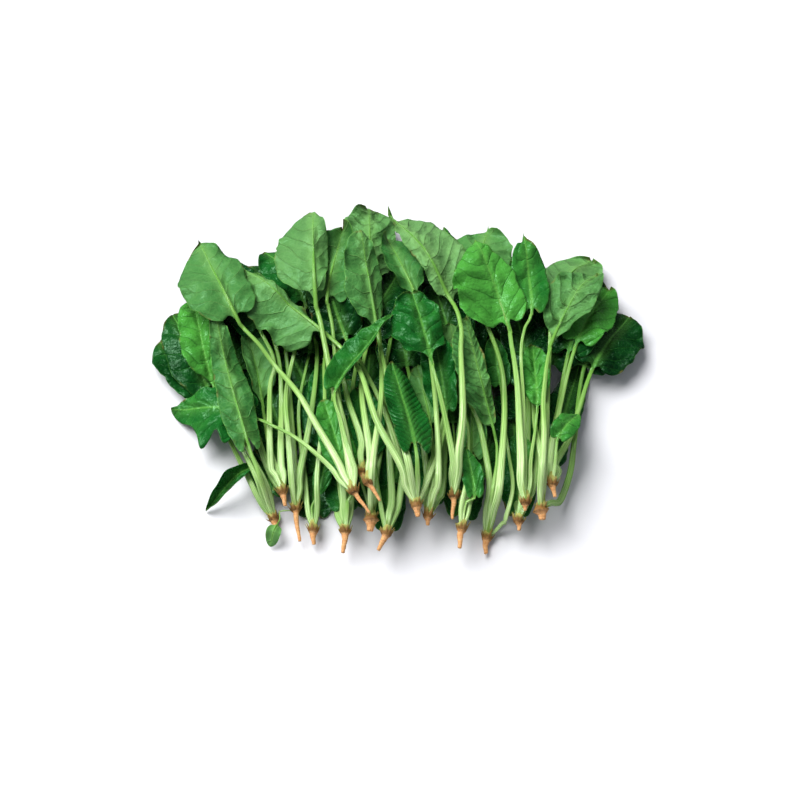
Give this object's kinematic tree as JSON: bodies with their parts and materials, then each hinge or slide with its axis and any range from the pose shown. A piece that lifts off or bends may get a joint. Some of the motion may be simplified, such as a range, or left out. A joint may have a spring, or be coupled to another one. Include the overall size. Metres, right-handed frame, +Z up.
{
  "type": "spinach bunch",
  "caption": "Loose bunch of whole young spinach plants lying on a surface, with trimmed orange taproots, pale stalks and dark green leaves.",
  "frame": {"origin": "bottom centre of the bunch's bounding box, on the surface that it lies on", "axes": "+Y from the roots to the leaf tips, +X across the bunch, +Z up"},
  "size_m": [0.389, 0.307, 0.0615],
  "materials": {
    "leaf": "satin",
    "root": "matte"
  },
  "bodies": {
    "root": {"plant_a_leaf_1": "leaf", "plant_a_leaf_2": "leaf", "plant_a_leaf_3": "leaf", "plant_a_leaf_4": "leaf", "plant_a_root": "root", "plant_b_leaf_1": "leaf", "plant_b_leaf_4": "leaf", "plant_b_root": "root", "plant_c_leaf_1": "leaf", "plant_c_leaf_3": "leaf", "plant_c_root": "root", "plant_d_leaf_3": "leaf", "plant_d_root": "root", "plant_e_leaf_1": "leaf", "plant_e_leaf_2": "leaf", "plant_e_leaf_3": "leaf", "plant_e_root": "root", "plant_f_leaf_1": "leaf", "plant_f_leaf_2": "leaf", "plant_f_leaf_3": "leaf", "plant_f_leaf_4": "leaf", "plant_f_leaf_5": "leaf", "plant_f_root": "root", "plant_g_root": "root", "plant_h_leaf_1": "leaf", "plant_h_root": "root", "plant_i_leaf_1": "leaf", "plant_i_leaf_2": "leaf", "plant_i_root": "root", "plant_j_leaf_2": "leaf", "plant_j_root": "root", "plant_k_leaf_1": "leaf", "plant_k_leaf_2": "leaf", "plant_k_leaf_3": "leaf", "plant_k_root": "root", "plant_l_leaf_1": "leaf", "plant_l_leaf_3": "leaf", "plant_l_root": "root", "plant_m_leaf_1": "leaf", "plant_m_leaf_2": "leaf", "plant_m_root": "root", "plant_n_leaf_1": "leaf", "plant_n_leaf_3": "leaf", "plant_n_root": "root", "plant_o_leaf_1": "leaf", "plant_o_leaf_3": "leaf", "plant_o_root": "root", "plant_p_leaf_1": "leaf", "plant_p_leaf_2": "leaf", "plant_p_leaf_3": "leaf", "plant_p_root": "root", "plant_q_leaf_1": "leaf", "plant_q_leaf_2": "leaf", "plant_q_root": "root", "plant_r_leaf_1": "leaf", "plant_r_leaf_2": "leaf", "plant_r_root": "root", "plant_s_leaf_1": "leaf", "plant_s_leaf_2": "leaf", "plant_s_root": "root"}
  },
  "joints": []
}
